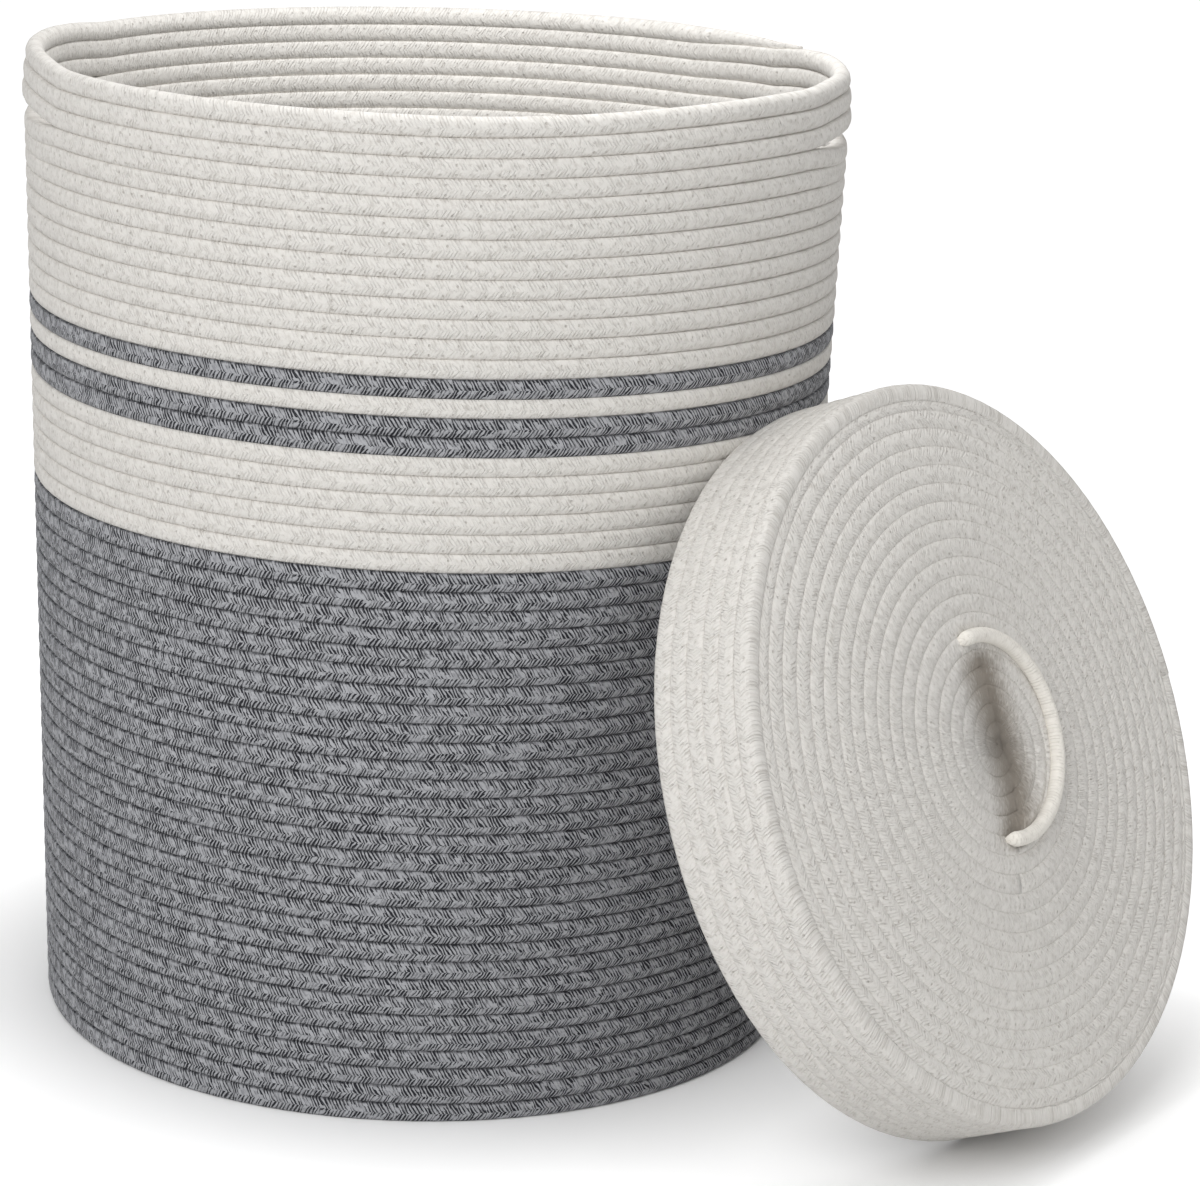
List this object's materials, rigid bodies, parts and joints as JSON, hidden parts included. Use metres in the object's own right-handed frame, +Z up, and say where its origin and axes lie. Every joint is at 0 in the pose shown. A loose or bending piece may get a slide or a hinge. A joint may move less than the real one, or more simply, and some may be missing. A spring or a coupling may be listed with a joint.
{
  "type": "laundry basket",
  "caption": "Tall round laundry hamper sewn from coiled braided rope, with hand slots near the rim and a loose rope lid leaning on its wall.",
  "frame": {"origin": "on the basket's axis, at the flat underside of its base, where it stands on the floor", "axes": "+Z up along the basket's axis; -Y is the front, the side seen in the picture; +X is the right-hand side, with a hand slot at +X and one at -X"},
  "size_m": [0.6168, 0.5329, 0.5061],
  "materials": {
    "cream_rope": "matt off-white braided cotton rope, sewn with a tone-on-tone zigzag stitch",
    "grey_rope": "matt braided cotton rope in light grey flecked with charcoal yarn"
  },
  "bodies": {
    "basket": {"wall_cream_rim": "cream_rope", "wall_cream_upper": "cream_rope", "wall_grey_single_row": "grey_rope", "wall_cream_single_row": "cream_rope", "wall_grey_double_row": "grey_rope", "wall_cream_band": "cream_rope", "wall_grey_lower": "grey_rope", "base_coil": "grey_rope"},
    "lid": {"lid_skirt": "cream_rope", "lid_face": "cream_rope", "lid_handle_bowl": "cream_rope", "lid_handle_rope": "cream_rope"}
  },
  "joints": [
    {"name": "lid_lift", "type": "slide", "parent": "basket", "child": "lid", "axis": [0.7103, -0.5876, 0.3875], "range_m": [0, 0.35]}
  ]
}
